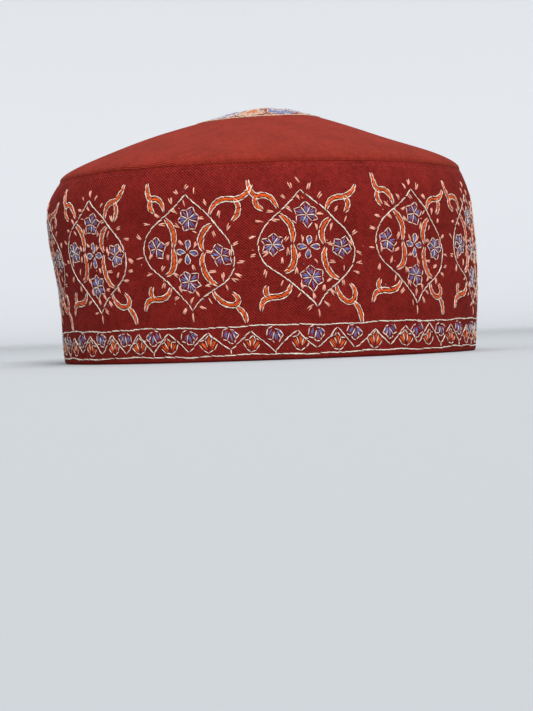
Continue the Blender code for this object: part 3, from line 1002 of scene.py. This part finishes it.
# The border: two lines, a zigzag, and a flower in every angle of it
border = {
    "top": 13.9, "foot": 2.4, "peak": 12.1, "valley": 4.6, "palm": 7.0, "tulip": 10.1,  # heights
    "periods": 36,
    "work": {
        "line": {"stitch": 3.9, "advance": 2.7, "width": 0.43, "slant": 0.20},
        "zigzag": {"stitch": 3.2, "advance": 2.5, "width": 0.44},
        "link": {"width": 0.44, "shake": 0.06},
        "petalEdge": {"width": 0.38, "shake": 0.12},
        "petalFill": {"width": 0.47, "shake": 0.12, "lift": 0.13},
    },
    # peaks that show from the front, in degrees to the right; the others are spaced evenly behind
    "frontPeaks": (-44.6, -35.3, -26.2, -15.5, -4.6, 7.1, 17.3, 27.7, 37.1, 46.0, 55.9),
    # a blue flower hangs from the top line: three petals that fan down, drawn from its middle
    "tulipLines": (((-0.5, 3.3), (-2.8, 2.6)), ((-2.8, 2.6), (-3.7, -0.4)), ((-3.6, -1.1), (-1.3, -1.8)),
                   ((0.1, 1.6), (-1.3, -1.8)), ((-1.2, -2.0), (-0.5, -3.0)), ((-0.5, -2.9), (1.4, -3.0)),
                   ((1.4, 1.0), (2.4, -1.3)), ((0.4, 2.5), (2.2, 2.0)), ((2.2, 2.0), (4.1, 0.1)),
                   ((4.1, 0.0), (2.2, -1.7)), ((2.3, -1.6), (1.5, -2.9))),
    "tulipFills": (((-1.1, 2.5), (-2.9, -0.2)), ((-0.9, 1.5), (-2.2, -0.8)), ((0.1, 1.3), (0.2, -2.1)),
                   ((0.5, 0.8), (0.9, -2.5)), ((0.8, 1.9), (3.6, 0.2)), ((0.9, 1.2), (2.8, -0.3))),
    # an orange flower stands in each peak: one upright petal between two that open to the sides
    "palmLines": (((-0.4, 3.7), (-1.5, 2.2)), ((-1.5, 2.2), (-0.5, -1.0)), ((-0.1, 3.7), (1.4, 1.7)),
                  ((1.4, 1.7), (0.6, -1.2)), ((-3.3, 1.8), (-1.6, 2.4)), ((1.5, 1.6), (3.6, 1.2)),
                  ((-3.6, 0.2), (-1.9, -2.5)), ((-1.9, -2.5), (0.3, -3.4)), ((4.0, 0.1), (2.5, -2.2)),
                  ((2.5, -2.2), (0.3, -3.5))),
    "palmFills": (((-0.2, 2.9), (-0.3, -0.5)), ((0.4, 2.2), (0.5, -0.8)), ((-3.1, 1.2), (-0.7, -2.3)),
                  ((-2.3, 1.3), (-0.6, -1.5)), ((3.3, 0.5), (0.8, -2.4)), ((2.5, 0.9), (0.9, -1.4))),
}


def borderFlower(kind, middle, rng, cream, fill):
    # the chart turned and stretched a little, with a stitch left out now and then
    stretch = turnMatrix(rng.normal(0, 9)) * np.array(
        [rng.choice([-1, 1]) * rng.uniform(0.90, 1.10), rng.uniform(0.92, 1.05)])
    for chart, chance, batches, work in (("Lines", 0.95, cream, "petalEdge"),
                                         ("Fills", 0.92, fill, "petalFill")):
        drawn = np.array(border[kind + chart]) @ stretch.T + middle
        drawn = drawn[rng.random(len(drawn)) < chance]
        batches.append(straightStitch(drawn[:, 0], drawn[:, 1], rng, **border["work"][work]))


def borderStitches():
    # two wavy lines once round, then valley by valley the zigzag's two arms and the flowers beside them
    rng = np.random.default_rng(7)
    work = border["work"]
    cream, orange, blue = [], [], []
    seen = np.radians(border["frontPeaks"])
    behind = np.linspace(seen[-1], seen[0] + 2 * math.pi, border["periods"] - len(seen) + 2)[1:-1]
    behind = behind + rng.normal(0, 0.006, len(behind))
    peaks = np.concatenate([seen, behind, [seen[0] + 2 * math.pi]]) * chartRadius
    x = np.linspace(0, 2 * math.pi * chartRadius, 1200) + peaks[0]
    turn = x / chartRadius
    for level in (border["top"], border["foot"]):
        wave = 0.26 * np.sin(11 * turn + level) + 0.16 * np.sin(35 * turn + 2 * level)
        cream.append(stemStitches(np.stack([x, level + wave], -1), rng, **work["line"]))
    valleys = (peaks[:-1] + peaks[1:]) / 2 + rng.normal(0, 0.4, len(peaks) - 1)
    peakHeights = border["peak"] + rng.normal(0, 0.35, len(peaks))
    peakHeights[-1] = peakHeights[0]
    valleyHeights = border["valley"] + rng.normal(0, 0.4, len(valleys))
    for index, valley in enumerate(valleys):
        low = np.array([valley, valleyHeights[index]])
        rounded = rng.uniform(0, 1.2)
        for other, side in ((index, -1), (index + 1, 1)):
            high = np.array([peaks[other], peakHeights[other]])
            bend = (low + high) / 2 + rng.normal(0, 0.25, 2)
            turnIn = low + np.array([side * rounded, 0.35 * rounded])
            cream.append(stemStitches(smoothPath([high, bend, turnIn, low]), rng, **work["zigzag"]))
        if rng.random() < 0.3:  # a short stitch links some valleys to the line below
            foot = np.array([valley + rng.normal(0, 0.15), border["foot"] + 0.4])
            cream.append(straightStitch(low, foot, rng, **work["link"]))
        palm = np.array([peaks[index] + rng.normal(0, 0.25), border["palm"] + rng.normal(0, 0.2)])
        tulip = np.array([valley + rng.normal(0, 0.25), border["tulip"] + rng.normal(0, 0.15)])
        borderFlower("palm", palm, rng, cream, orange)
        borderFlower("tulip", tulip, rng, cream, blue)
        for batches, chance in ((orange, 0.5), (blue, 0.35)):
            if rng.random() < chance:
                spot = np.array([valley + rng.uniform(3, 13), rng.uniform(3.6, 5.2)])
                batches.append(straightStitch(spot, spot + rng.normal(0, 0.35, 2), rng,
                                              **medallion["work"]["stray"]))
    return cream, orange, blue


# The crown's rosette: nine full petals in three colours round a small flower, in millimetres of radius
rosette = {
    "middleX": -3.0, "rim": 27.6, "innerRing": 8.2,
    # which circle each ring follows, how far inside it, its colour and its width
    "rings": (("rim", 0.0, "peach", 0.60), ("rim", 0.7, "cream", 0.60), ("rim", 1.4, "peach", 0.50),
              ("innerRing", 0.0, "cream", 0.52), ("innerRing", 0.7, "orange", 0.56)),
    "petals": 9, "firstPetal": -100, "petalRoot": 9.4, "petalTip": 25.0, "petalShare": 0.84,
    "heartRoot": 11.4, "heartTip": 19.6, "seeds": (10.4, 13.2, 16.0, 18.8),
    "colours": ("peach", "blue", "lilac"), "hearts": ("orange", "lilac", "blue"),
    "flowerPetals": 6, "flowerRoot": 0.9, "flowerTip": 6.6,
    # a petal's half width on the way from its root to its tip
    "stations": (0.0, 0.22, 0.5, 0.78, 0.93, 1.0), "swell": (0.10, 0.42, 0.82, 1.0, 0.72, 0.24),
    "work": {
        "ring": {"stitch": 2.8, "advance": 2.0},
        "petalEdge": {"stitch": 2.4, "advance": 1.8},
        "petalCap": {"stitch": 1.6, "advance": 1.2},
        "petalFill": {"stitch": 2.8, "advance": 1.9, "width": 0.74, "shake": 0.08},
        "fan": {"width": 0.42, "shake": 0.08, "lift": 0.34},
        "wedge": {"width": 0.52, "shake": 0.08, "lift": 0.14},
        "seed": {"width": 0.50, "shake": 0.10},
    },
}


def fullPetal(angle, near, far, half, rng, cream, fill, edgeWidth=0.52, lift=0.12):
    # a rounded petal: two bowed edges, and rows of fill between them that follow the same bow
    out = outwards(angle)
    left = leftOf(out)
    edge = {"width": edgeWidth, "lift": lift + 0.08}

    def bowed(row):
        reach = near + (far - near) * np.array(rosette["stations"]) * (1 - 0.05 * abs(row) ** 3)
        return smoothPath(out * reach[:, None] + left * (row * half * np.array(rosette["swell"]))[:, None])

    for side in (1, -1):
        cream.append(stemStitches(bowed(side * 1.04), rng, **edge, **rosette["work"]["petalEdge"]))
    tip = np.linspace(-0.27, 0.27, 5)
    cap = out * far + left * (tip * half)[:, None] + out * (0.35 - 6 * tip**2)[:, None]
    cream.append(stemStitches(smoothPath(cap), rng, **edge, **rosette["work"]["petalCap"]))
    rows = max(3, int(round(half * 2 / 0.66)))
    for row in np.linspace(-0.86, 0.86, rows):
        fill.append(stemStitches(bowed(row), rng, lift=lift, **rosette["work"]["petalFill"]))


def rosetteStitches():
    # the rings, then petal by petal: it, a smaller one on it, a fan above that, and the gap beside it
    rng = np.random.default_rng(5)
    work = rosette["work"]
    used = {"cream": [], "orange": [], "peach": [], "blue": [], "lilac": []}
    cream = used["cream"]
    circle = np.linspace(0, 2 * math.pi, 240)
    for base, inside, colour, width in rosette["rings"]:
        radius = rosette[base] - inside
        ring = outwards(circle) * radius * (1 + 0.005 * np.sin(5 * circle + radius)[:, None])
        used[colour].append(stemStitches(ring, rng, width=width, **work["ring"]))
    step = 2 * math.pi / rosette["petals"]
    for index in range(rosette["petals"]):
        angle = math.radians(rosette["firstPetal"]) + index * step + rng.normal(0, 0.015)
        half = rosette["petalShare"] * 21.0 * step / 2
        colour, heart = rosette["colours"][index % 3], rosette["hearts"][index % 3]
        fullPetal(angle, rosette["petalRoot"], rosette["petalTip"], half, rng, cream, used[colour])
        fullPetal(angle, rosette["heartRoot"], rosette["heartTip"], half * 0.42, rng, cream, used[heart],
                  edgeWidth=0.42, lift=0.34)
        out = outwards(angle)
        left = leftOf(out)
        for lean in (-1, 0, 1):
            first = out * 20.7 + left * lean * 1.1
            last = out * (23.6 - 0.7 * abs(lean)) + left * lean * 2.5
            cream.append(straightStitch(first, last, rng, **work["fan"]))
        # the gap between two petals holds a wedge near the rim and a few seeds below it
        out = outwards(angle + step / 2)
        left = leftOf(out)
        for row in np.linspace(-1, 1, 6):
            batches = used["orange"] if abs(row) < 0.7 else cream
            first, last = out * (21.4 + 2.2 * abs(row)) + left * row * 0.6, out * 25.5 + left * row * 2.3
            batches.append(straightStitch(first, last, rng, **work["wedge"]))
        for distance in rosette["seeds"]:
            used["peach"].append(straightStitch(out * distance, out * (distance + 1.7), rng, **work["seed"]))
    for index in range(rosette["flowerPetals"]):
        angle = index / rosette["flowerPetals"] * 2 * math.pi + 0.3
        fill = used["blue" if index % 2 else "orange"]
        fullPetal(angle, rosette["flowerRoot"], rosette["flowerTip"], 1.7, rng, cream, fill, edgeWidth=0.42)
    for batches in used.values():
        for rows in batches:
            rows[:, [0, 2]] += rosette["middleX"]
    return used


# the running stitch under the crown's edge, and the slanting one that holds the lining's foot to the band
seamRun = {"height": 77.4, "pitch": 3.4, "stitch": 1.5, "work": {"width": 0.37, "shake": 0.12, "lift": 0.08}}
footRun = {"low": 0.7, "high": 2.7, "pitch": 3.6, "stitch": 1.1,
           "work": {"width": 0.40, "shake": 0.12, "lift": 0.22}}


def onceRound(pitch):
    # chart places a pitch apart, once round the band
    return np.arange(-math.pi, math.pi, pitch / chartRadius) * chartRadius


def seamStitches():
    # level stitches with a slow sine in their height
    x = onceRound(seamRun["pitch"])
    y = seamRun["height"] + 0.25 * np.sin(x * 0.05)
    first, last = np.stack([x, y], -1), np.stack([x + seamRun["stitch"], y], -1)
    return [straightStitch(first, last, np.random.default_rng(3), **seamRun["work"])]


def ontoLiningFoot(x, y):
    # inside the cap: from the band's inner face over the lining's folded foot to the lining's inner face
    azimuth, height = x / chartRadius, y * mm
    wall = bandCloth["wall"]
    climb = np.clip((height - 1.0 * mm) / (1.0 * mm), 0, 1)
    reach = wall + 0.02 * mm + climb * (liningShell["inset"] + liningShell["wall"] - wall)

    def place(first, second):
        return bandPlace(first, second, reach)

    return place(azimuth, height), -normalsOf(place, azimuth, height, 0.003, 0.0003)


def liningStitches():
    # slanting stitches from the band up to the lining
    x = onceRound(footRun["pitch"])
    first = np.stack([x, footRun["low"] + 0 * x], -1)
    last = np.stack([x + footRun["stitch"], footRun["high"] + 0 * x], -1)
    return [straightStitch(first, last, np.random.default_rng(4), **footRun["work"])]


stitchPieces = []


def sew(name, batches, onto, thread, seed, node):
    # one object for each colour, and the solid that it lies on
    stitchPieces.append((makeStitches(name + "_stitches", batches, onto, thread, seed), node))


medallions = [medallionStitches(index) for index in range(medallion["count"])]
for part, colour in enumerate(("cream", "orange", "blue", "pink")):
    batches = [batch for one in medallions for batch in one[part]]
    sew("medallion_" + colour, batches, ontoBand, colour, 20 + part, "side_band")
for batches, colour in zip(borderStitches(), ("cream", "orange", "blue")):
    sew("border_" + colour, batches, ontoBand, colour, 30, "side_band")
for colour, batches in rosetteStitches().items():
    sew("rosette_" + colour, batches, ontoCrown, "crown" + colour.title(), 40, "crown_panel")
sew("seam_running", seamStitches(), ontoBand, "red", 50, "side_band")
sew("lining_foot", liningStitches(), ontoLiningFoot, "red", 51, "band_lining")
print("stitches made")


# Every piece rides on the one body, and the cloth pieces stand for the frame's solids
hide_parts("side_band")
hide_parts("crown_panel")
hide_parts("band_lining")
clothPieces = [(bandPiece, "side_band"), (crownPiece, "crown_panel"), (liningPiece, "band_lining")]
for piece, node in clothPieces + stitchPieces:
    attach(piece, "root")


# The stage is a pale round floor that curves up into a wall on every side
stage = {"reach": 2.6, "bend": 0.7, "top": 1.5, "columns": 96,
         "near": (0.405, 0.425, 0.445, 1), "far": (0.665, 0.685, 0.715, 1), "bounce": (0.34, 0.33, 0.33, 1),
         "fadeFrom": 0.85, "fadeTo": 2.2, "glow": 0.13}


def makeSweep():
    # a profile turned about the upright axis: flat floor, quarter circle, wall
    bend, columns = stage["bend"], stage["columns"]
    flat = stage["reach"] - bend
    arc = np.linspace(0, math.pi / 2, 20)
    floor = np.linspace(0.02, flat, 24)[:-1]
    radius = np.concatenate([floor, flat + bend * np.sin(arc), [stage["reach"]]])
    z = np.concatenate([np.zeros(len(floor)), bend - bend * np.cos(arc), [stage["top"]]])
    turn = np.arange(columns) / columns * 2 * math.pi
    places = np.concatenate([outwards(turn) * radius[:, None, None],
                             np.broadcast_to(z[:, None, None], (len(z), columns, 1))], -1).reshape(-1, 3)
    corners = gridFaces(len(radius), columns, closeRows=False)[0]
    order = np.concatenate([corners[:, ::-1].ravel(), np.arange(columns)])
    sizes = np.concatenate([np.full(len(corners), 4), [columns]])
    material, tree, shader = startMaterial("paleBackdrop", Emission_Color=stage["far"], Roughness=0.9,
                                           Specular_IOR_Level=0.1)
    place = addNode(tree, "ShaderNodeTexCoord", (-900, 0)).outputs["Object"]
    distance = addNode(tree, "ShaderNodeVectorMath", (-700, 0), {"operation": "LENGTH"}, i0=place)
    share = addNode(tree, "ShaderNodeMapRange", (-500, 0), {"interpolation_type": "SMOOTHSTEP"},
                    i0=distance.outputs["Value"], i1=stage["fadeFrom"], i2=stage["fadeTo"]).outputs[0]
    # painted light: the camera sees the sweep darker near the middle and paler farther out, where it also
    # glows, which makes up for the lamps' light falling off so that it looks evenly pale
    pale = mixColour(tree, share, stage["near"], stage["far"], (-300, 0))
    # the sweep looks pale but throws back less light than it shows, which keeps the cap's shading
    seen = addNode(tree, "ShaderNodeLightPath", (-500, 260)).outputs["Is Camera Ray"]
    tree.links.new(mixColour(tree, seen, stage["bounce"], pale, (-140, 60)), shader.inputs["Base Color"])
    glow = times(tree, seen, share, (-300, 300))
    glow = times(tree, glow, stage["glow"], (-140, 300))
    tree.links.new(glow, shader.inputs["Emission Strength"])
    return makeObject("backdrop_sweep", places, order, sizes, places[order][:, :2], [material])


makeSweep()


# disks of light that look at the middle of the cap: a soft key in front, a faint one at the side, one above
lights = (
    {"name": "keyLight", "place": (0.75, -3.15, 2.35), "size": 1.75, "power": 185,
     "colour": (1.0, 0.985, 0.965)},
    {"name": "sideLight", "place": (-1.3, -0.9, 0.9), "size": 0.9, "power": 2.5,
     "colour": (0.97, 0.985, 1.0)},
    {"name": "topLight", "place": (0.1, 0.3, 1.7), "size": 1.2, "power": 14, "colour": (1.0, 1.0, 1.0)},
)
room = {"colour": (0.90, 0.93, 0.97, 1), "strength": 0.75, "target": (0, 0, 0.06)}


def areaLight(look):
    # tilted from straight down, then turned, by the angles of the way to the target
    light = bpy.data.lights.new(look["name"], "AREA")
    light.shape, light.size, light.energy, light.color = "DISK", look["size"], look["power"], look["colour"]
    lamp = bpy.data.objects.new(look["name"], light)
    bpy.context.scene.collection.objects.link(lamp)
    lamp.location = look["place"]
    x, y, z = np.array(room["target"]) - np.array(look["place"])
    lamp.rotation_euler = (math.atan2(math.hypot(x, y), -z), 0, math.atan2(-x, y))


for look in lights:
    areaLight(look)
world = bpy.data.worlds.new("paleRoom")
bpy.context.scene.world = world
world.use_nodes = True
world.node_tree.nodes["Background"].inputs["Color"].default_value = room["colour"]
world.node_tree.nodes["Background"].inputs["Strength"].default_value = room["strength"]
bpy.context.scene.view_settings.view_transform = "Standard"


# The camera stands level with the photograph's front view, as low as the floor lets it be
view = {"distance": 0.883, "height": 0.014, "focalPixels": 1972, "frame": (533, 711), "roll": 2.0,
        "middlePixel": (266, 245), "aim": (0.0, 0.0, 0.050)}


def placeCamera():
    # the focal length in pixels becomes one in millimetres of a sensor as tall as the picture
    lens = bpy.data.cameras.new("frontCamera")
    lens.sensor_fit = "VERTICAL"
    lens.sensor_height = 36
    lens.lens = view["focalPixels"] * 36 / view["frame"][1]
    lens.clip_start = 0.002
    camera = bpy.data.objects.new("frontCamera", lens)
    bpy.context.scene.collection.objects.link(camera)
    camera.location = (0, -view["distance"], view["height"])
    # the aim point sits at the middle pixel of the cap in the frame, so the axis is turned away by the rest
    right = (view["middlePixel"][0] - view["frame"][0] / 2) / view["focalPixels"]
    down = (view["middlePixel"][1] - view["frame"][1] / 2) / view["focalPixels"]
    rise = math.atan2(view["aim"][2] - view["height"], view["distance"])
    camera.rotation_mode = "XYZ"
    camera.rotation_euler = (math.pi / 2 + rise + math.atan(down), 0, math.atan(right))
    camera.rotation_mode = "QUATERNION"
    roll = Quaternion((0, 0, 1), math.radians(-view["roll"]))
    camera.rotation_quaternion = camera.rotation_quaternion @ roll
    bpy.context.scene.camera = camera


placeCamera()
print("stage, lights and camera set")
